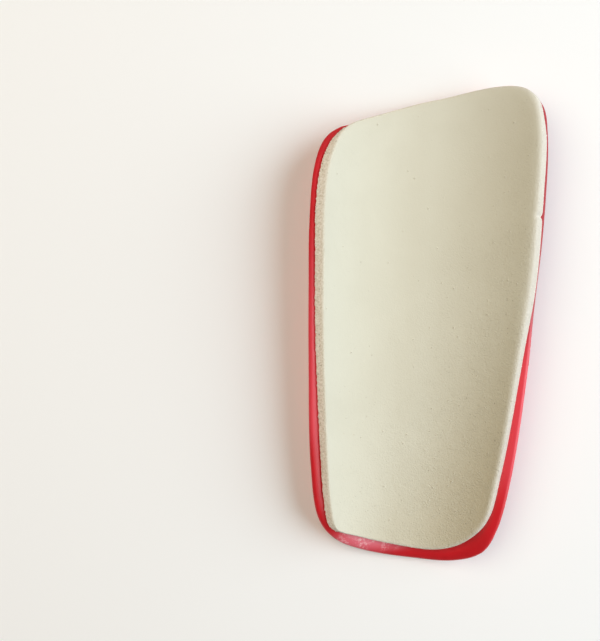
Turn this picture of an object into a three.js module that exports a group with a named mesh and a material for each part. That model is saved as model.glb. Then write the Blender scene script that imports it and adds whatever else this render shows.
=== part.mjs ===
// Slip-in soccer shin guard: a curved plastic shell with a foam pad on its hollow side.
// Millimetres. It lies on its back with the hollow up: +Y points to the knee end,
// +X to the high corner of the slanted top edge, and the ridge touches z = 0.
import * as THREE from 'three';
import { mergeVertices } from 'three/addons/utils/BufferGeometryUtils.js';

const shellThickness = 2.4;
const padThickness = 4.2;
const glueGap = 0.3;
const bendRadius = 56;
const bendTaper = 0.055;
const ridgeHalfWidth = 3;
const ridgeHalfLength = 55;
const guardHalfLength = 100;
const endRise = 2.5;
const rimDrop = 1.4;
const rimWidth = 4;
const padFaceTurn = 0.4;
const cutLean = 0.9;
const edgeChamfer = 0.6;
const rimSteps = 320;
const columnsPerSide = 12;
const columnCrowding = 1.5;
const rowsPerSection = 4;

// Outlines on the flattened wall, from the ankle edge to the knee edge. A row is one section:
// its two ends are measured outwards from the ridge and lengthwise from the middle.
const shellOutline = {
  ankle: { across: 4, along: -101.1 },
  sections: [
    { left: 13.6, leftAlong: -99.3, right: 22.7, rightAlong: -100.4 },
    { left: 28.4, leftAlong: -94.4, right: 35.7, rightAlong: -94.8 },
    { left: 38.1, leftAlong: -85, right: 41.9, rightAlong: -84.4 },
    { left: 44.4, leftAlong: -62.3, right: 47, rightAlong: -62.3 },
    { left: 49.9, leftAlong: -15, right: 51.2, rightAlong: -15 },
    { left: 52.3, leftAlong: 12, right: 51.4, rightAlong: 6 },
    { left: 54.1, leftAlong: 36, right: 53.2, rightAlong: 42 },
    { left: 53.3, leftAlong: 60, right: 52.2, rightAlong: 78.4 },
    { left: 48.5, leftAlong: 72.6, right: 48.2, rightAlong: 93.4 },
    { left: 39.7, leftAlong: 79.7, right: 38.5, rightAlong: 100.2 },
  ],
  knee: { across: 0, along: 94.4 },
};
const padOutline = {
  ankle: { across: -5, along: -93.9 },
  sections: [
    { left: 28.3, leftAlong: -89.9, right: 15.7, rightAlong: -95 },
    { left: 33.6, leftAlong: -87.7, right: 29.3, rightAlong: -90.2 },
    { left: 37.2, leftAlong: -79.7, right: 38.9, rightAlong: -80.6 },
    { left: 42.7, leftAlong: -52, right: 44.1, rightAlong: -60 },
    { left: 49.5, leftAlong: -2, right: 51, rightAlong: -2 },
    { left: 51.8, leftAlong: 24, right: 53.1, rightAlong: 22 },
    { left: 53.1, leftAlong: 44, right: 53.5, rightAlong: 48 },
    { left: 51.7, leftAlong: 60.4, right: 51.8, rightAlong: 82 },
    { left: 45.4, leftAlong: 74.3, right: 46.3, rightAlong: 96.6 },
    { left: 35.5, leftAlong: 81.2, right: 35.5, rightAlong: 100.2 },
  ],
  knee: { across: 1, along: 94.4 },
};

// Edge profiles, from the back of the wall to its hollow side. Turn is the share of the rim's
// outward turn that a layer follows. The pad's cut leans outwards.
const shellEdge = [
  { depth: 0, inset: edgeChamfer, turn: 1 },
  { depth: edgeChamfer, inset: 0, turn: 1 },
  { depth: shellThickness - edgeChamfer, inset: 0, turn: 1 },
  { depth: shellThickness, inset: edgeChamfer, turn: 1 },
];
const padFoot = shellThickness + glueGap;
const padFace = padFoot + padThickness;
const padEdge = [
  { depth: padFoot, inset: 0, turn: 1 },
  { depth: padFace - edgeChamfer, inset: -cutLean, turn: padFaceTurn },
  { depth: padFace, inset: edgeChamfer - cutLean, turn: padFaceTurn },
];

// Rolls a point of the flattened wall round the shin.
function bend(across, along, depth) {
  const radius = bendRadius + bendTaper * along;
  const flat = THREE.MathUtils.clamp(across, -ridgeHalfWidth, ridgeHalfWidth);
  const angle = (across - flat) / radius;
  const reach = Math.max(0, Math.abs(along) - ridgeHalfLength);
  const rise = endRise * (reach / (guardHalfLength - ridgeHalfLength)) ** 2;
  return new THREE.Vector3(
    flat + (radius - depth) * Math.sin(angle),
    along,
    rise + radius - (radius - depth) * Math.cos(angle),
  );
}

// A smooth closed curve: up the left ends, over the knee edge, down the right ends.
function closedOutline({ ankle, sections, knee }) {
  const points = [
    ...sections.map((s) => new THREE.Vector3(-s.left, s.leftAlong, 0)),
    new THREE.Vector3(knee.across, knee.along, 0),
    ...sections.toReversed().map((s) => new THREE.Vector3(s.right, s.rightAlong, 0)),
    new THREE.Vector3(ankle.across, ankle.along, 0),
  ];
  return new THREE.CatmullRomCurve3(points, true, 'centripetal');
}

function edgePoint(curve, index, inset) {
  const t = (index / curve.points.length) % 1;
  const point = curve.getPoint(t);
  const tangent = curve.getTangent(t);
  return { across: point.x + inset * tangent.y, along: point.y - inset * tangent.x };
}

const rimPoints = closedOutline(shellOutline).getPoints(rimSteps);
const rimSegments = rimPoints.slice(1).map((end, n) => new THREE.Line3(rimPoints[n], end));

// The wall turns outwards near the shell's rim: how far it moves back at a point of the flattened wall.
function rimTurn(across, along) {
  const point = new THREE.Vector3(across, along, 0);
  const onRim = new THREE.Vector3();
  const away = new THREE.Vector3();
  let nearest = Infinity;
  let inside = 0;
  for (const segment of rimSegments) {
    segment.closestPointToPoint(point, true, onRim);
    away.subVectors(point, onRim);
    if (away.length() < nearest) {
      nearest = away.length();
      inside = -Math.sign(segment.delta(new THREE.Vector3()).cross(away).z);
    }
  }
  return rimDrop * Math.max(0, 1 - (inside * nearest) / rimWidth) ** 2;
}

// A closed wall: a block of cells whose layers follow the edge profile,
// laid out inside the outline and then rolled round the shin.
function wallGeometry(outline, edge) {
  const { lerp } = THREE.MathUtils;
  const curve = closedOutline(outline);
  const last = outline.sections.length - 1;
  const columns = 2 * columnsPerSide + 1;
  const rows = last * rowsPerSection;
  const layers = edge.length - 1;
  const geometry = new THREE.BoxGeometry(1, 1, 1, columns, rows, layers);
  const position = geometry.getAttribute('position');
  for (let n = 0; n < position.count; n += 1) {
    const column = Math.round((position.getX(n) + 0.5) * columns);
    const section = Math.round((position.getY(n) + 0.5) * rows) / rowsPerSection;
    const { depth, inset, turn } = edge[Math.round((position.getZ(n) + 0.5) * layers)];
    const ends = (index) => [
      edgePoint(curve, index, inset),
      edgePoint(curve, 2 * last + 2 - index, inset),
    ];
    const [left, right] = ends(section);
    const fromEdge = Math.min(column, columns - column) / columnsPerSide;
    const across = column <= columnsPerSide
      ? lerp(left.across, -ridgeHalfWidth, fromEdge ** columnCrowding)
      : lerp(right.across, ridgeHalfWidth, fromEdge ** columnCrowding);
    const share = (across - left.across) / (right.across - left.across);
    const arch = (index, start) => {
      const [from, to] = ends(index);
      return edgePoint(curve, start, inset).along - lerp(from.along, to.along, share);
    };
    const along = lerp(left.along, right.along, share) + lerp(
      arch(0, 2 * last + 4 - 2 * share),
      arch(last, last + 2 * share),
      section / last,
    );
    position.setXYZ(n, ...bend(across, along, depth - turn * rimTurn(across, along)).toArray());
  }
  geometry.deleteAttribute('normal');
  geometry.deleteAttribute('uv');
  const merged = mergeVertices(geometry, 1e-4);
  merged.computeVertexNormals();
  return merged;
}

const shell = new THREE.Mesh(
  wallGeometry(shellOutline, shellEdge),
  new THREE.MeshStandardMaterial({ color: 0xc3202c, roughness: 0.32, metalness: 0 }),
);
shell.name = 'shell';

const foamPad = new THREE.Mesh(
  wallGeometry(padOutline, padEdge),
  new THREE.MeshStandardMaterial({ color: 0xe4dfca, roughness: 0.95, metalness: 0 }),
);
foamPad.name = 'foam_pad';

const shinGuard = new THREE.Group();
shinGuard.name = 'shin_guard';
shinGuard.add(shell, foamPad);

export default shinGuard;
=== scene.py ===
# Slip-in soccer shin guard lying on its back: a red moulded shell and the cream foam pad glued in it
import math

import bpy
import numpy as np
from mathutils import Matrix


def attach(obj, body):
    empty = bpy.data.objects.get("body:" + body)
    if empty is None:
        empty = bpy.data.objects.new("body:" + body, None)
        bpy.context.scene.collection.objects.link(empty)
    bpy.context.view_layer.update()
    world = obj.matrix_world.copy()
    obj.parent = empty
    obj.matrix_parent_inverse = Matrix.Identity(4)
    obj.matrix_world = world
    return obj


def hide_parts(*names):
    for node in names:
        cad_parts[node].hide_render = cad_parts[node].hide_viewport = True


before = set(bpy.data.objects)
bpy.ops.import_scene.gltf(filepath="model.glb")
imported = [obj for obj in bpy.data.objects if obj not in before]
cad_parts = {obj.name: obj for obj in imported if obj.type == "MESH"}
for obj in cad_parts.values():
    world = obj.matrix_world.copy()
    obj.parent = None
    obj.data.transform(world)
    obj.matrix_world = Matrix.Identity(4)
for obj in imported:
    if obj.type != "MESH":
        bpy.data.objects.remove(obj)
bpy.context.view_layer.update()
mm = 0.001
print("frame: nodes", sorted(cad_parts))


# Node helpers

def feed(tree, socket, value):
    if isinstance(value, bpy.types.NodeSocket):
        tree.links.new(value, socket)
    else:
        socket.default_value = value


def addNode(tree, kind, inputs=None, **settings):
    node = tree.nodes.new(kind)
    for key, value in settings.items():
        setattr(node, key, value)
    for key, value in (inputs or {}).items():
        feed(tree, node.inputs[key], value)
    return node


def calc(tree, operation, *values):
    return addNode(tree, "ShaderNodeMath", dict(enumerate(values)), operation=operation).outputs[0]


def times(tree, value, *others):
    return calc(tree, "MULTIPLY", value, times(tree, *others)) if others else value


def vectorCalc(tree, operation, inputs, output="Vector"):
    return addNode(tree, "ShaderNodeVectorMath", inputs, operation=operation).outputs[output]


def splitVector(tree, vector):
    return addNode(tree, "ShaderNodeSeparateXYZ", {0: vector}).outputs


def joinVector(tree, x=0.0, y=0.0, z=0.0):
    return addNode(tree, "ShaderNodeCombineXYZ", {0: x, 1: y, 2: z}).outputs[0]


# A smooth ramp of a value, from low to high
def spread(tree, value, low, high, outLow=0.0, outHigh=1.0):
    return addNode(
        tree,
        "ShaderNodeMapRange",
        {"Value": value, "From Min": low, "From Max": high, "To Min": outLow, "To Max": outHigh},
        interpolation_type="SMOOTHSTEP",
    ).outputs[0]


# A tree's named inputs are a piece's sizes and its finish
def newGeometryTree(name, sizes):
    tree = bpy.data.node_groups.new(name, "GeometryNodeTree")
    sockets = [("Geometry", "Geometry")]
    sockets += [(label, "Int" if isinstance(size, int) else "Float") for label, size in sizes.items()]
    sockets += [("Finish", "Material")]
    for label, kind in sockets:
        tree.interface.new_socket(label, in_out="INPUT", socket_type="NodeSocket" + kind)
    tree.interface.new_socket("Geometry", in_out="OUTPUT", socket_type="NodeSocketGeometry")
    return tree, tree.nodes.new("NodeGroupInput").outputs


def endTree(tree, geometry, material):
    real = addNode(tree, "GeometryNodeRealizeInstances", {"Geometry": geometry}).outputs[0]
    finished = addNode(tree, "GeometryNodeSetMaterial", {"Geometry": real, "Material": material})
    addNode(tree, "NodeGroupOutput", {"Geometry": finished.outputs[0]})


def applyTree(piece, tree, values):
    modifier = piece.modifiers.new(tree.name, "NODES")
    modifier.node_group = tree
    for item in tree.interface.items_tree:
        if item.in_out == "INPUT" and item.name in values:
            modifier[item.identifier] = values[item.name]


def settle(piece):
    depsgraph = bpy.context.evaluated_depsgraph_get()
    mesh = bpy.data.meshes.new_from_object(
        piece.evaluated_get(depsgraph), preserve_all_data_layers=True, depsgraph=depsgraph
    )
    piece.modifiers.clear()
    piece.data = mesh
    mesh.name = piece.name
    print(piece.name, "faces", len(mesh.polygons))


def addPiece(name, mesh):
    piece = bpy.data.objects.new(name, mesh)
    bpy.context.scene.collection.objects.link(piece)
    return piece


# The wall that both pieces follow: an arc round the shin, wider towards the knee end (+Y)

wallForm = {
    "Bend Radius": 56 * mm,
    "Bend Taper": 0.055,
    "Ridge Half Width": 3 * mm,
    "Ridge Half Length": 55 * mm,
    "Guard Half Length": 100 * mm,
    "End Rise": 2.5 * mm,
}


def rollTree():
    tree, given = newGeometryTree("Roll round the shin", wallForm)
    place = addNode(tree, "GeometryNodeInputPosition").outputs[0]
    across, along, depth = splitVector(tree, place)
    ridge = given["Ridge Half Width"]
    radius = calc(tree, "MULTIPLY_ADD", given["Bend Taper"], along, given["Bend Radius"])
    flat = calc(tree, "MINIMUM", across, ridge)
    flat = calc(tree, "MAXIMUM", flat, times(tree, ridge, -1.0))
    angle = calc(tree, "DIVIDE", calc(tree, "SUBTRACT", across, flat), radius)
    spoke = calc(tree, "SUBTRACT", radius, depth)
    beyond = calc(tree, "SUBTRACT", calc(tree, "ABSOLUTE", along), given["Ridge Half Length"])
    span = calc(tree, "SUBTRACT", given["Guard Half Length"], given["Ridge Half Length"])
    reach = calc(tree, "DIVIDE", calc(tree, "MAXIMUM", beyond, 0.0), span)
    rise = times(tree, given["End Rise"], calc(tree, "POWER", reach, 2.0))
    x = calc(tree, "MULTIPLY_ADD", spoke, calc(tree, "SINE", angle), flat)
    drop = times(tree, spoke, calc(tree, "COSINE", angle))
    z = calc(tree, "ADD", rise, calc(tree, "SUBTRACT", radius, drop))
    rolled = addNode(
        tree,
        "GeometryNodeSetPosition",
        {"Geometry": given["Geometry"], "Position": joinVector(tree, x, along, z)},
    ).outputs[0]
    smooth = addNode(tree, "GeometryNodeSetShadeSmooth", {0: rolled}).outputs[0]
    endTree(tree, smooth, given["Finish"])
    return tree


# An outline is a smooth closed curve: up the left ends, over the knee edge, down the right ends

def outlinePoints(outline):
    sections = outline["sections"]
    return mm * np.array(
        [(-left, leftAlong) for left, leftAlong, right, rightAlong in sections]
        + [outline["knee"]]
        + [(right, rightAlong) for left, leftAlong, right, rightAlong in reversed(sections)]
        + [outline["ankle"]]
    )


def edgeAt(points, index, inset):
    start = np.floor(index).astype(int)
    t = (index - start)[:, None]
    a, b, c, d = (points[(start + k) % len(points)] for k in (-1, 0, 1, 2))
    ab, bc, cd = (
        np.sqrt(np.linalg.norm(q - p, axis=1))[:, None] for p, q in ((a, b), (b, c), (c, d))
    )
    out = ((b - a) / ab - (c - a) / (ab + bc) + (c - b) / bc) * bc
    into = ((c - b) / bc - (d - b) / (bc + cd) + (d - c) / cd) * bc
    square = 3 * (c - b) - 2 * out - into
    cube = 2 * (b - c) + out + into
    place = b + out * t + square * t**2 + cube * t**3
    way = out + 2 * square * t + 3 * cube * t**2
    way /= np.linalg.norm(way, axis=1)[:, None]
    return place + inset * np.stack([way[:, 1], -way[:, 0]], axis=1)


# Near the shell's rim the wall turns outwards: how far each flat place moves back

def rimTurn(places, rim, batchSize=2000):
    points = outlinePoints(rim["outline"])
    corners = edgeAt(points, np.linspace(0, len(points), rim["steps"] + 1), 0)
    start, step = corners[:-1], np.diff(corners, axis=0)
    inside = np.empty(len(places))
    for batch in np.array_split(np.arange(len(places)), 1 + len(places) // batchSize):
        offset = places[batch, None] - start
        share = np.clip((offset * step).sum(2) / (step**2).sum(1), 0, 1)
        away = offset - share[..., None] * step
        distance = np.linalg.norm(away, axis=2)
        nearest = distance.argmin(1)
        gap = away[np.arange(len(batch)), nearest]
        way = step[nearest]
        side = np.sign(way[:, 1] * gap[:, 0] - way[:, 0] * gap[:, 1])
        inside[batch] = side * distance.min(1)
    return rim["drop"] * mm * np.clip(1 - inside / (rim["width"] * mm), 0, None) ** 2


# Lays a wall out flat, as a closed block of quads: x across, y along, z from its back to the hollow side

def evenSections(points, last, rows, fineSteps=2000):
    fine = np.linspace(0, last, fineSteps)
    steps = np.linalg.norm(np.diff(edgeAt(points, fine, 0), axis=0), axis=1)
    run = np.concatenate([[0], np.cumsum(steps)])
    return np.interp(np.linspace(0, run[-1], rows + 1), run, fine)


def flatLayer(points, section, share, depth, leftInset, rightInset):
    last = section[-1]
    inset = mm * (leftInset + (rightInset - leftInset) * share)[:, None]
    left = edgeAt(points, section, inset[0])
    right = edgeAt(points, 2 * last + 2 - section, inset[-1])
    grid = left[:, None] + (right - left)[:, None] * share[None, :, None]
    ankle = edgeAt(points, 2 * last + 4 - 2 * share, inset)[:, 1] - grid[0, :, 1]
    knee = edgeAt(points, last + 2 * share, inset)[:, 1] - grid[-1, :, 1]
    way = (section / last)[:, None]
    grid[:, :, 1] += (1 - way) * ankle + way * knee
    return np.dstack([grid, np.full(grid.shape[:2], depth * mm)]).reshape(-1, 3)


def layFlat(name, outline, edge, columns, rows, rim):
    points = outlinePoints(outline)
    section = evenSections(points, len(outline["sections"]) - 1, rows)
    share = np.linspace(0, 1, columns + 1)
    layers = [flatLayer(points, section, share, *row[:3]) for row in edge]
    cut, turn = np.array(edge).T[3:]

    # the back and the face are whole grids, the layers between them only rings
    count = (rows + 1) * (columns + 1)
    number = np.arange(count).reshape(rows + 1, columns + 1)
    corners = [number[:-1, :-1], number[:-1, 1:], number[1:, 1:], number[1:, :-1]]
    quads = np.stack(corners, axis=-1).reshape(-1, 4)
    loop = np.concatenate([number[0, :-1], number[:-1, -1], number[-1, :0:-1], number[:0:-1, 0]])
    top = len(edge) - 1
    ringStarts = 2 * count + len(loop) * np.arange(top - 1)
    rings = [loop, *(ringStarts[:, None] + np.arange(len(loop))), loop + count]
    faces = [quads[:, ::-1], quads + count]
    for low, high in zip(rings[:-1], rings[1:]):
        faces.append(np.stack([low, np.roll(low, -1), np.roll(high, -1), high], axis=1))
    vertices = np.concatenate([layers[0], layers[-1]] + [layer[loop] for layer in layers[1:-1]])
    layerOf = np.repeat([0, top, *range(1, top)], [count, count] + [len(loop)] * (top - 1))
    vertices[:, 2] -= turn[layerOf] * rimTurn(vertices[:, :2], rim)

    onWall = np.zeros(len(vertices))
    onWall[np.concatenate(rings[:-1])] = 1
    onFace = np.zeros(len(vertices))
    onFace[count + number[1:-1, 1:-1].ravel()] = 1
    mesh = bpy.data.meshes.new(name)
    mesh.from_pydata(vertices.tolist(), [], np.concatenate(faces).tolist())
    marks = {"cut": cut[layerOf], "level": layerOf / top, "wall": onWall, "face": onFace}
    for label, values in marks.items():
        mesh.attributes.new(label, "FLOAT", "POINT").data.foreach_set("value", values)
    mesh.attributes.new("flat", "FLOAT_VECTOR", "POINT").data.foreach_set("vector", vertices.ravel())
    return addPiece(name, mesh)


# Shared finish effects

def newShaderGroup(name, inputs, outputs):
    tree = bpy.data.node_groups.new(name, "ShaderNodeTree")
    for label, kind in inputs:
        tree.interface.new_socket(label, in_out="INPUT", socket_type="NodeSocket" + kind)
    for label in outputs:
        tree.interface.new_socket(label, in_out="OUTPUT", socket_type="NodeSocketFloat")
    return tree, tree.nodes.new("NodeGroupInput").outputs, tree.nodes.new("NodeGroupOutput").inputs


grainForm = {
    "noiseDetail": 1.0,
    "contrast": (0.3, 0.7),
    "cellScale": 0.6,
    "cellHeight": 0.35,
    "speckCore": 0.05,
    "speckReach": (0.15, 0.5),  # smallest and largest, in cells
}


# Fine grain: uneven small cells as a light and dark value, a height, and sparse round specks
def fineGrainGroup():
    tree, given, out = newShaderGroup(
        "Fine grain",
        [("Vector", "Vector"), ("Scale", "Float"), ("Roughness", "Float"), ("Speck Share", "Float")],
        ["Value", "Height", "Specks"],
    )
    noise = addNode(
        tree,
        "ShaderNodeTexNoise",
        {
            "Vector": given["Vector"],
            "Scale": given["Scale"],
            "Detail": grainForm["noiseDetail"],
            "Roughness": given["Roughness"],
        },
    ).outputs[0]
    cells = addNode(
        tree,
        "ShaderNodeTexVoronoi",
        {"Vector": given["Vector"], "Scale": times(tree, given["Scale"], grainForm["cellScale"])},
    ).outputs
    chance, size, dark = splitVector(tree, cells["Color"])
    chosen = times(tree, calc(tree, "LESS_THAN", chance, given["Speck Share"]), dark)
    smallest, largest = grainForm["speckReach"]
    reach = calc(tree, "MULTIPLY_ADD", size, largest - smallest, smallest)
    dots = spread(tree, cells["Distance"], grainForm["speckCore"], reach, 1.0, 0.0)
    height = calc(tree, "MULTIPLY_ADD", cells["Distance"], grainForm["cellHeight"], noise)
    feed(tree, out["Value"], spread(tree, noise, *grainForm["contrast"]))
    feed(tree, out["Height"], height)
    feed(tree, out["Specks"], times(tree, dots, chosen))
    return tree


patchForm = {
    "noise": {"Detail": 4.0, "Roughness": 0.55, "Distortion": 0.6},
    "contrast": (0.32, 0.68),
}


# Mottling: soft uneven patches in tint or gloss
def mottlingGroup():
    tree, given, out = newShaderGroup("Mottling", [("Vector", "Vector"), ("Scale", "Float")], ["Value"])
    noise = addNode(
        tree,
        "ShaderNodeTexNoise",
        {"Vector": given["Vector"], "Scale": given["Scale"], **patchForm["noise"]},
    ).outputs[0]
    feed(tree, out["Value"], spread(tree, noise, *patchForm["contrast"]))
    return tree


fineGrain = fineGrainGroup()
mottling = mottlingGroup()


def newMaterial(name):
    material = bpy.data.materials.new(name)
    material.use_nodes = True
    tree = material.node_tree
    tree.nodes.clear()
    shader = addNode(tree, "ShaderNodeBsdfPrincipled")
    addNode(tree, "ShaderNodeOutputMaterial", {"Surface": shader.outputs[0]})
    return material, tree, shader.inputs


def useGroup(tree, group, inputs):
    node = tree.nodes.new("ShaderNodeGroup")
    node.node_tree = group
    for key, value in inputs.items():
        feed(tree, node.inputs[key], value)
    return node.outputs


def patchesAt(tree, place, scale):
    return useGroup(tree, mottling, {"Vector": place, "Scale": scale})["Value"]


def grainAt(tree, place, grain):
    return useGroup(tree, fineGrain, {"Vector": place, **grain})


def mixColour(tree, share, first, second, blend="MIX"):
    node = addNode(tree, "ShaderNodeMix", data_type="RGBA", blend_type=blend)
    feed(tree, node.inputs["Factor"], share)
    feed(tree, node.inputs[6], first)
    feed(tree, node.inputs[7], second)
    return node.outputs[2]


def addBump(tree, shader, height, bump):
    node = addNode(tree, "ShaderNodeBump", {"Height": height, **bump})
    feed(tree, shader["Normal"], node.outputs[0])


def markedValue(tree, label):
    return addNode(tree, "ShaderNodeAttribute", attribute_name=label).outputs["Fac"]


def flatPlace(tree):
    return addNode(tree, "ShaderNodeAttribute", attribute_name="flat").outputs["Vector"]


def objectPlace(tree):
    return addNode(tree, "ShaderNodeTexCoord").outputs["Object"]


# Shell: red plastic 2.4 mm thick, with a rim that turns outwards to a round lip

shell = {
    "outline": {  # columns: left, left along, right, right along, in mm from the ridge and the middle
        "ankle": (4, -101.1),
        "sections": [
            (13.6, -99.3, 22.7, -100.4),
            (28.4, -94.4, 35.7, -94.8),
            (38.1, -85, 41.9, -84.4),
            (44.4, -62.3, 47, -62.3),
            (49.9, -15, 51.2, -15),
            (52.3, 12, 51.8, 6),
            (54.1, 36, 53.4, 42),
            (53.3, 60, 52.2, 78.4),
            (48.5, 72.6, 48.2, 93.4),
            (39.7, 79.7, 38.5, 100.2),
        ],
        "knee": (0, 94.4),
    },
    "edge": [  # depth, left inset, right inset: a bevelled back, then the round lip
        (0, 2.0, 2.0),
        (0.6, 0.35, 0.4),
        (0.95, -0.3, -0.2),
        (1.3, -0.45, -0.35),
        (1.9, -0.45, -0.35),
        (2.15, -0.36, -0.26),
        (2.32, -0.16, -0.06),
        (2.4, 0.2, 0.3),
    ],
    "rim": {"drop": 1.4, "width": 4.0, "steps": 320},
    "columns": 96,
    "rows": 170,
    "finish": {
        "red": (0.69, 0.011, 0.019, 1),
        "deepRed": (0.59, 0.008, 0.014, 1),
        # painted light and sheen: a paler, pinker red half-way along both flanks
        "flankSheenRed": (0.80, 0.047, 0.070, 1),
        # painted shade: a darker red on the long side's knee half
        "kneeShadeRed": (0.40, 0.025, 0.035, 1),
        "patchScale": 38.0,
        "flank": (25 * mm, 40 * mm),  # out from the ridge, where the lip's painted light and painted shade set in
        "kneeward": (-5 * mm, 45 * mm),
        "ankleward": (-48 * mm, -70 * mm),
        "ankleSlant": 0.15,
        "kneeShade": (-20 * mm, 15 * mm, 0.0, 0.85),  # along the long side: painted shade towards the knee end
        "roughness": (0.38, 0.48),
        "kneeDulling": 0.35,
        "specular": 0.85,
        "ior": 1.49,
        "grain": {"Scale": 900.0, "Roughness": 0.5},
        "bump": {"Strength": 0.08, "Distance": 0.2 * mm},
    },
    "glue": {  # dried on the lip by the ankle edge
        "tint": (0.84, 0.17, 0.23, 1),
        "fleckTint": (0.93, 0.50, 0.53, 1),
        "centre": (-14, -94.5, 0),
        "reach": (23, 7.5, 40),
        "film": (0.0, 0.85, 0.0, 0.9),
        "flecked": (0.15, 0.75),
        "smearScale": 1000.0,
        "clumpScale": 200.0,
        "fleckLimits": (0.15, 0.75),
        "dulling": 0.25,
    },
}


# The shell's reds: mottled, with painted light and sheen half-way along both flanks, and painted shade
# on the long side's knee half
def shellReds(tree, finish, patches, across, along, kneeward):
    red = mixColour(tree, patches, finish["red"], finish["deepRed"])
    flank = spread(tree, calc(tree, "ABSOLUTE", across), *finish["flank"])
    slanted = calc(tree, "MULTIPLY_ADD", across, finish["ankleSlant"], along)
    ankleward = spread(tree, slanted, *finish["ankleward"])
    middle = calc(tree, "SUBTRACT", calc(tree, "SUBTRACT", 1.0, kneeward), ankleward)
    # painted light and sheen on the flanks' middle
    red = mixColour(tree, times(tree, flank, middle), red, finish["flankSheenRed"])
    longSide = spread(tree, across, *finish["flank"])
    # painted shade on the long side towards the knee end
    kneeShade = times(tree, longSide, spread(tree, along, *finish["kneeShade"]))
    return mixColour(tree, kneeShade, red, finish["kneeShadeRed"])


# Where the glue lies: a thin film, and flecks on it
def gluePatches(tree, glue, flat):
    near = addNode(
        tree,
        "ShaderNodeMapping",
        {
            "Vector": flat,
            "Location": [-c / r for c, r in zip(glue["centre"], glue["reach"])],
            "Scale": [1 / (r * mm) for r in glue["reach"]],
        },
    ).outputs[0]
    zone = addNode(tree, "ShaderNodeTexGradient", {"Vector": near}, gradient_type="SPHERICAL").outputs[1]
    smears = patchesAt(tree, flat, glue["smearScale"])
    clumps = patchesAt(tree, flat, glue["clumpScale"])
    flecks = spread(tree, times(tree, smears, clumps), *glue["fleckLimits"])
    return spread(tree, zone, *glue["film"]), times(tree, spread(tree, zone, *glue["flecked"]), flecks)


def shellMaterial():
    material, tree, shader = newMaterial("red plastic")
    finish, glue = shell["finish"], shell["glue"]
    place = objectPlace(tree)
    flat = flatPlace(tree)
    across, along = splitVector(tree, flat)[:2]
    patches = patchesAt(tree, place, finish["patchScale"])
    kneeward = spread(tree, along, *finish["kneeward"])
    film, flecks = gluePatches(tree, glue, flat)
    red = shellReds(tree, finish, patches, across, along, kneeward)
    red = mixColour(tree, film, red, glue["tint"])
    feed(tree, shader["Base Color"], mixColour(tree, flecks, red, glue["fleckTint"]))
    smooth, dull = finish["roughness"]
    roughness = calc(tree, "MULTIPLY_ADD", patches, dull - smooth, smooth)
    roughness = calc(tree, "MULTIPLY_ADD", kneeward, finish["kneeDulling"], roughness)
    feed(tree, shader["Roughness"], calc(tree, "MULTIPLY_ADD", flecks, glue["dulling"], roughness))
    addBump(tree, shader, grainAt(tree, place, finish["grain"])["Height"], finish["bump"])
    shader["IOR"].default_value = finish["ior"]
    shader["Specular IOR Level"].default_value = finish["specular"]
    return material


rim = {"outline": shell["outline"], **shell["rim"]}
roll = rollTree()
shellPiece = layFlat(
    "shell_plastic",
    shell["outline"],
    [(*row, 1, 1) for row in shell["edge"]],
    shell["columns"],
    shell["rows"],
    rim,
)
applyTree(shellPiece, roll, {**wallForm, "Finish": shellMaterial()})
settle(shellPiece)


# Foam pad: a die-cut sheet, 4.2 mm thick, with a soft face edge, small pores and a slightly ragged cut

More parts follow.
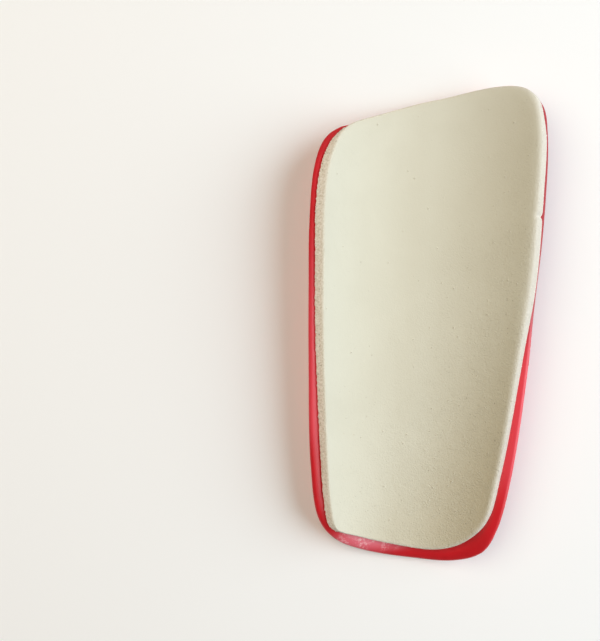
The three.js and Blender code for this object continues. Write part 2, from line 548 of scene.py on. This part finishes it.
pad = {
    "outline": {
        "ankle": (-5, -93.9),
        "sections": [
            (28.3, -89.9, 15.7, -95),
            (33.6, -87.7, 29.3, -90.2),
            (37.2, -79.7, 38.9, -80.6),
            (42.7, -52, 44.1, -60),
            (49.5, -2, 51, -2),
            (51.8, 24, 53.1, 22),
            (53.1, 44, 53.5, 48),
            (51.7, 60.4, 51.8, 82),
            (45.4, 74.3, 46.1, 96.3),
            (35.5, 81.5, 35.5, 100.2),
        ],
        "knee": (1, 93.7),
    },
    "edge": {
        "cut": [  # depth, left inset, right inset: a groove at the foot, then the torn cut
            (2.45, 0.9, 0.3),
            (2.65, 0.8, 0.2),
            (3.0, -0.85, -0.45),
            (3.2, -1.1, -0.6),
            (3.5, -1.1, -0.7),
            (4.2, -1.05, -0.75),
            (5.0, -0.95, -0.85),
            (5.8, -0.9, -0.9),
        ],
        "face": 6.9,
        "faceSoft": (0.7, 2.0),
        "faceTurn": 0.4,
        "faceSteps": 6,
    },
    "columns": 96,
    "rows": 288,
    "skin": {
        "Swell Height": 0.1 * mm,
        "Swell Scale": 45.0,
        "Pore Density": 75000.0,
        "Pore Size": 0.6 * mm,
        "Pore Flatness": 0.28,
        "Pore Dent": 0.26,
        "Pore Least": 0.3,
        "Pore Spread": 0.75,
        "Pore Rarity": 4.0,
        "Ragged Depth": 0.7 * mm,
        "Ragged Scale": 800.0,
        "Long Side Calm": 0.8,
        "Nick Across": 53.9 * mm,
        "Nick Along": 46.5 * mm,
        "Nick Radius": 1.5 * mm,
        "Nick Depth": 0.9 * mm,
        "Tuck Across": -43 * mm,
        "Tuck Along": 79 * mm,
        "Tuck Radius": 15 * mm,
        "Tuck Depth": 1.35 * mm,
        "Crumb Density": 900000.0,
        "Crumb Size": 0.2 * mm,
        "Seed": 11,
    },
    "cutLevels": {  # from, to, share at the foot, share above it
        "torn": (0.2, 0.6, 1.0, 0.2),
        "tucked": (0.25, 0.6, 1.0, 0.0),
        "crumbly": (0.2, 0.5, 1.0, 0.2),
        # painted light along the cut's foot
        "pale": (0.2, 0.35, 1.0, 0.0),
    },
    "pore": {  # ramps outwards from its middle, in shares of its size
        "segments": 8,
        "rings": 6,
        # painted shade in the dent
        "pitShade": (0.1, 0.6, 1.0, 0.0),
        # painted light on the brim
        "brimLight": (0.55, 0.8),
        "dent": (0.0, 0.75, 1.0, 0.0),
    },
    "crumb": {"least": (0.5, 0.5, 0.4), "most": (1.5, 1.2, 0.9), "turn": (6.28, 6.28, 6.28)},
    "longSide": (-20 * mm, 30 * mm),
    "wear": {  # grows from the short side's knee end to the long side's ankle end
        "way": (0.9, -0.43, 0),
        "pores": (-45 * mm, 85 * mm, 0.06, 1.0),
        "grain": (-20 * mm, 85 * mm, 0.15, 1.6),
        "clusters": (0.5, 0.7),
    },
    # painted shade: the face darker and warmer towards the long side's ankle end
    "faceShadeFall": {"way": (0.8, -0.6, 0), "limits": (25 * mm, 95 * mm)},
    "finish": {
        "cream": (0.71, 0.685, 0.565, 1),
        "creamDark": (0.64, 0.61, 0.49, 1),
        # painted shade tint for the face
        "faceShadeTint": (0.82, 0.745, 0.63, 1),
        "cutLight": (0.98, 0.92, 0.82, 1),
        "cutTint": (0.77, 0.705, 0.58, 1),
        # painted shade for the long side's cut
        "cutShadeTint": (0.80, 0.795, 0.785, 1),
        "crumbTint": (0.97, 0.92, 0.85, 1),
        "speckTint": (0.36, 0.32, 0.23, 1),
        "patchScale": 30.0,
        "patchShare": 0.3,
        "clusterScale": 150.0,
        "grain": {"Scale": 1750.0, "Roughness": 0.6, "Speck Share": 0.14},
        "grainHeight": 0.85,
        "fleckShare": 0.3,
        "speckShare": 0.8,
        "cutGrain": {"Scale": 1250.0, "Roughness": 0.7, "Speck Share": 0.5},
        "cutCalm": 0.75,
        # painted light along the cut's foot
        "litFootShare": 0.7,
        # painted light on the pores' brims and painted shade in their dents
        "brimLightShare": 0.22,
        "pitShadeShare": 0.95,
        "bump": {"Strength": 0.8, "Distance": 0.4 * mm},
        "roughness": 0.92,
        "specular": 0.25,
    },
}


def namedValue(tree, label):
    node = addNode(tree, "GeometryNodeInputNamedAttribute", {"Name": label}, data_type="FLOAT")
    return node.outputs[0]


def keepValue(tree, geometry, label, value):
    return addNode(
        tree,
        "GeometryNodeStoreNamedAttribute",
        {"Geometry": geometry, "Name": label, "Value": value},
        data_type="FLOAT",
        domain="POINT",
    ).outputs[0]


def randomValue(tree, low, high, seed):
    kind, first = ("FLOAT_VECTOR", 0) if isinstance(low, tuple) else ("FLOAT", 2)
    node = addNode(tree, "FunctionNodeRandomValue", {"Seed": seed}, data_type=kind)
    node.inputs[first].default_value = low
    node.inputs[first + 1].default_value = high
    return node.outputs[first // 2]


# Copies of a shape on the faces where a mark is set
def scatter(tree, sheet, mark, density, seed, copies):
    marked = addNode(tree, "FunctionNodeCompare", {0: mark, 1: 0.5}, operation="GREATER_THAN").outputs[0]
    points = addNode(
        tree,
        "GeometryNodeDistributePointsOnFaces",
        {"Mesh": sheet, "Selection": marked, "Density": density, "Seed": seed},
    ).outputs[0]
    return addNode(tree, "GeometryNodeInstanceOnPoints", {"Points": points, **copies}).outputs[0]


def noiseAbout(tree, place, scale, height):
    inputs = {"Vector": place, "Scale": scale, "Detail": 2.0}
    noise = addNode(tree, "ShaderNodeTexNoise", inputs).outputs[0]
    return times(tree, calc(tree, "MULTIPLY_ADD", noise, 2.0, -1.0), height)


def towards(tree, flat, way):
    return vectorCalc(tree, "DOT_PRODUCT", {0: flat, 1: way}, "Value")


def towardsLongSide(tree, flat):
    return spread(tree, splitVector(tree, flat)[0], *pad["longSide"])


def lessOnLongSide(tree, flat, calm):
    return calc(tree, "SUBTRACT", 1.0, times(tree, towardsLongSide(tree, flat), calm))


# A burst pore: a low button with a dent in its top, marked for painted shade in the dent and painted
# light on its brim
def poreShape(tree, given):
    form = pad["pore"]
    size = given["Pore Size"]
    ball = addNode(
        tree,
        "GeometryNodeMeshUVSphere",
        {"Segments": form["segments"], "Rings": form["rings"], "Radius": size},
    ).outputs[0]
    x, y, z = splitVector(tree, addNode(tree, "GeometryNodeInputPosition").outputs[0])
    span = vectorCalc(tree, "LENGTH", {0: joinVector(tree, x, y)}, "Value")
    share = calc(tree, "DIVIDE", span, size)
    ball = keepValue(tree, ball, "pitShade", spread(tree, share, *form["pitShade"]))
    ball = keepValue(tree, ball, "brimLight", spread(tree, share, *form["brimLight"]))
    sunk = times(tree, size, given["Pore Dent"], spread(tree, share, *form["dent"]))
    height = calc(tree, "SUBTRACT", times(tree, z, given["Pore Flatness"]), sunk)
    return addNode(
        tree, "GeometryNodeSetPosition", {"Geometry": ball, "Position": joinVector(tree, x, y, height)}
    ).outputs[0]


# How far the cut moves in round a place on the outline
def hollow(tree, place, given, label):
    depth = splitVector(tree, place)[2]
    centre = joinVector(tree, given[label + " Across"], given[label + " Along"], depth)
    away = vectorCalc(tree, "DISTANCE", {0: place, 1: centre}, "Value")
    share = spread(tree, away, 0.0, given[label + " Radius"], 1.0, 0.0)
    return times(tree, share, given[label + " Depth"])


# Works on the flat sheet: soft swells and burst pores on its face, a torn cut with a nick, its foot
# tucked in at the short side's knee corner, crumbs on the cut
def foamSkinTree():
    tree, given = newGeometryTree("Foam skin", pad["skin"])
    levels, crumbForm, wear = pad["cutLevels"], pad["crumb"], pad["wear"]
    place = addNode(tree, "GeometryNodeInputPosition").outputs[0]
    normal = addNode(tree, "GeometryNodeInputNormal").outputs[0]
    face, cut, level, wall = (namedValue(tree, label) for label in ("face", "cut", "level", "wall"))
    seed = given["Seed"]

    lift = times(tree, noiseAbout(tree, place, given["Swell Scale"], given["Swell Height"]), face)
    tear = noiseAbout(tree, place, given["Ragged Scale"], given["Ragged Depth"])
    oneSided = lessOnLongSide(tree, place, given["Long Side Calm"])
    tear = times(tree, tear, oneSided, spread(tree, level, *levels["torn"]))
    nick = hollow(tree, place, given, "Nick")
    tuck = times(tree, hollow(tree, place, given, "Tuck"), spread(tree, level, *levels["tucked"]))
    push = calc(tree, "SUBTRACT", calc(tree, "SUBTRACT", tear, nick), tuck)
    levelled = vectorCalc(tree, "MULTIPLY", {0: normal, 1: (1, 1, 0)})
    sideways = vectorCalc(tree, "NORMALIZE", {0: levelled})
    outward = vectorCalc(tree, "SCALE", {0: sideways, "Scale": times(tree, push, cut)})
    offset = vectorCalc(tree, "ADD", {0: outward, 1: joinVector(tree, z=lift)})
    sheet = addNode(
        tree, "GeometryNodeSetPosition", {"Geometry": given["Geometry"], "Offset": offset}
    ).outputs[0]

    crumb = addNode(
        tree, "GeometryNodeMeshIcoSphere", {"Radius": given["Crumb Size"], "Subdivisions": 1}
    ).outputs[0]
    thinning = times(tree, oneSided, spread(tree, level, *levels["crumbly"]))
    crumbs = scatter(
        tree,
        sheet,
        wall,
        times(tree, thinning, given["Crumb Density"]),
        seed,
        {
            "Instance": keepValue(tree, crumb, "crumb", 1.0),
            "Rotation": randomValue(tree, (0, 0, 0), crumbForm["turn"], seed),
            "Scale": randomValue(tree, crumbForm["least"], crumbForm["most"], seed),
        },
    )

    worn = spread(tree, towards(tree, place, wear["way"]), *wear["pores"])
    poreScale = calc(tree, "POWER", randomValue(tree, 0.0, 1.0, seed), given["Pore Rarity"])
    pores = scatter(
        tree,
        sheet,
        face,
        times(tree, worn, given["Pore Density"]),
        seed,
        {
            "Instance": poreShape(tree, given),
            "Scale": calc(tree, "MULTIPLY_ADD", poreScale, given["Pore Spread"], given["Pore Least"]),
        },
    )
    joined = tree.nodes.new("GeometryNodeJoinGeometry")
    for part in (sheet, crumbs, pores):
        tree.links.new(part, joined.inputs[0])
    endTree(tree, joined.outputs[0], given["Finish"])
    return tree


# The face: cream, with painted shade darker and warmer towards the long side's ankle end, and grainier
# there
def faceColour(tree, finish, place, flat, grain, worn):
    patches = times(tree, patchesAt(tree, place, finish["patchScale"]), finish["patchShare"])
    body = mixColour(tree, patches, finish["cream"], finish["creamDark"])
    # painted shade, darker and warmer towards the long side's ankle end
    faceShade = spread(tree, towards(tree, flat, pad["faceShadeFall"]["way"]), *pad["faceShadeFall"]["limits"])
    body = mixColour(tree, faceShade, body, finish["faceShadeTint"], "MULTIPLY")
    flecks = times(tree, grain["Value"], worn, finish["fleckShare"])
    body = mixColour(tree, flecks, body, finish["creamDark"])
    specks = times(tree, grain["Specks"], worn, finish["speckShare"])
    return mixColour(tree, specks, body, finish["speckTint"])


# The cut: mealy, calmer on the long side, with painted shade on the long side, a painted light band
# along its foot, and pale crumbs
def cutColour(tree, finish, flat, cells, coarse):
    mealy = calc(tree, "MULTIPLY_ADD", calc(tree, "SUBTRACT", cells["Value"], 0.5), coarse, 0.5)
    body = mixColour(tree, mealy, finish["cutLight"], finish["cutTint"])
    body = mixColour(tree, times(tree, cells["Specks"], coarse), body, finish["speckTint"])
    # painted shade: the long side's cut darker
    body = mixColour(tree, towardsLongSide(tree, flat), body, finish["cutShadeTint"], "MULTIPLY")
    # painted light: a pale band along the cut's foot, joined with the crumbs' own pale tint
    foot = spread(tree, markedValue(tree, "level"), *pad["cutLevels"]["pale"])
    foot = times(tree, foot, finish["litFootShare"])
    torn = calc(tree, "MAXIMUM", foot, markedValue(tree, "crumb"))
    return mixColour(tree, torn, body, finish["crumbTint"])


def foamMaterial():
    material, tree, shader = newMaterial("cream foam")
    finish, wear = pad["finish"], pad["wear"]
    place = objectPlace(tree)
    flat = flatPlace(tree)
    cut = markedValue(tree, "cut")
    grain = grainAt(tree, place, finish["grain"])
    cells = grainAt(tree, place, finish["cutGrain"])
    clusters = patchesAt(tree, place, finish["clusterScale"])
    worn = spread(tree, towards(tree, flat, wear["way"]), *wear["grain"])
    worn = times(tree, worn, calc(tree, "MULTIPLY_ADD", clusters, *wear["clusters"]))
    coarse = lessOnLongSide(tree, flat, finish["cutCalm"])
    body = faceColour(tree, finish, place, flat, grain, worn)
    body = mixColour(tree, cut, body, cutColour(tree, finish, flat, cells, coarse))
    # painted light on each pore's brim, painted shade in its dent
    brimLight = times(tree, markedValue(tree, "brimLight"), finish["brimLightShare"])
    body = mixColour(tree, brimLight, body, finish["cutLight"])
    pitShade = times(tree, markedValue(tree, "pitShade"), finish["pitShadeShare"])
    feed(tree, shader["Base Color"], mixColour(tree, pitShade, body, finish["speckTint"]))
    height = times(tree, grain["Height"], worn, finish["grainHeight"])
    height = calc(tree, "MULTIPLY_ADD", cells["Height"], times(tree, cut, coarse), height)
    addBump(tree, shader, height, finish["bump"])
    shader["Roughness"].default_value = finish["roughness"]
    shader["Specular IOR Level"].default_value = finish["specular"]
    return material


# Rows of the pad's edge: the cut, and a turn into the face that is softer on the long side
def padEdge(edge):
    foot, top = edge["cut"][0][0], edge["cut"][-1][0]
    rows = []
    for depth, left, right in edge["cut"]:
        turn = 1 - (1 - edge["faceTurn"]) * (depth - foot) / (top - foot)
        rows.append((depth, left, right, 1, turn))
    left, right = edge["cut"][-1][1:]
    leftSoft, rightSoft = edge["faceSoft"]
    for step in range(1, edge["faceSteps"] + 1):
        share = step / edge["faceSteps"]
        rise = math.sin(math.radians(90 * share))
        inward = 1 - math.cos(math.radians(90 * share))
        rows.append((
            top + (edge["face"] - top) * rise,
            left + leftSoft * inward,
            right + rightSoft * inward,
            1 - share,
            edge["faceTurn"],
        ))
    return rows


padPiece = layFlat(
    "foam_pad_sheet",
    pad["outline"],
    padEdge(pad["edge"]),
    pad["columns"],
    pad["rows"],
    rim,
)
foam = foamMaterial()
applyTree(padPiece, foamSkinTree(), {**pad["skin"], "Finish": foam})
applyTree(padPiece, roll, {**wallForm, "Finish": foam})
settle(padPiece)


# Floor, light and camera

studio = {
    "floorRadius": 0.9,
    "floorSides": 64,
    "floorTint": (0.95, 0.95, 0.95, 1),
    "floorRoughness": 0.8,
    "worldTint": (1.0, 0.95, 0.9, 1),
    "worldStrength": 0.05,
    "backdropTint": (0.93, 0.925, 0.915, 1),
    "lights": {  # place, size, power, tint, mirrored in glossy pieces
        "window light": ((0.96, 0.15, 0.69), 1.5, 19.9, (0.855, 0.93, 0.99), True),
        "room light": ((-0.57, 0.25, 1.02), 1.2, 9.2, (1.0, 0.88, 0.71), False),
    },
    "cameraPlace": (-49.5 * mm, -2.8 * mm, 372 * mm),
    "cameraLeanDeg": 4.0,
    "cameraLens": 47.95,
    "cameraNear": 0.01,
}


def addFloor():
    mesh = bpy.data.meshes.new("floor")
    radius, sides = studio["floorRadius"], studio["floorSides"]
    turns = [math.tau * side / sides for side in range(sides)]
    corners = [(radius * math.cos(turn), radius * math.sin(turn), 0) for turn in turns]
    mesh.from_pydata(corners, [], [list(range(sides))])
    material, tree, shader = newMaterial("pale floor")
    shader["Base Color"].default_value = studio["floorTint"]
    shader["Roughness"].default_value = studio["floorRoughness"]
    mesh.materials.append(material)
    addPiece("floor", mesh)


def addLight(name, place, size, power, tint, mirrored):
    light = bpy.data.lights.new(name, "AREA")
    light.shape = "DISK"
    light.size = size
    light.energy = power
    light.color = tint
    lamp = addPiece(name, light)
    lamp.location = place
    lamp.rotation_euler = (-lamp.location).to_track_quat("-Z", "Y").to_euler()
    lamp.visible_glossy = mirrored


def addCamera():
    camera = bpy.data.cameras.new("camera")
    camera.lens = studio["cameraLens"]
    camera.clip_start = studio["cameraNear"]
    stand = addPiece("camera", camera)
    stand.location = studio["cameraPlace"]
    stand.rotation_euler = (0, 0, math.radians(studio["cameraLeanDeg"]))
    bpy.context.scene.camera = stand


# A dim even light, and a pale backdrop that lights nothing
def lightWorld():
    world = bpy.data.worlds.new("studio")
    bpy.context.scene.world = world
    world.use_nodes = True
    tree = world.node_tree
    tree.nodes.clear()
    dim = addNode(
        tree,
        "ShaderNodeBackground",
        {"Color": studio["worldTint"], "Strength": studio["worldStrength"]},
    ).outputs[0]
    backdrop = addNode(tree, "ShaderNodeBackground", {"Color": studio["backdropTint"]}).outputs[0]
    looked = addNode(tree, "ShaderNodeLightPath").outputs["Is Camera Ray"]
    both = addNode(tree, "ShaderNodeMixShader", {0: looked, 1: dim, 2: backdrop}).outputs[0]
    addNode(tree, "ShaderNodeOutputWorld", {"Surface": both})
    bpy.context.scene.view_settings.view_transform = "Standard"


addFloor()
for lightName, setting in studio["lights"].items():
    addLight(lightName, *setting)
addCamera()
lightWorld()
print("studio ready")

for piece, node, slotName in (
    (shellPiece, "shell", "shell_plastic"),
    (padPiece, "foam_pad", "pad_foam"),
):
    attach(piece, "root")
    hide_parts(node)
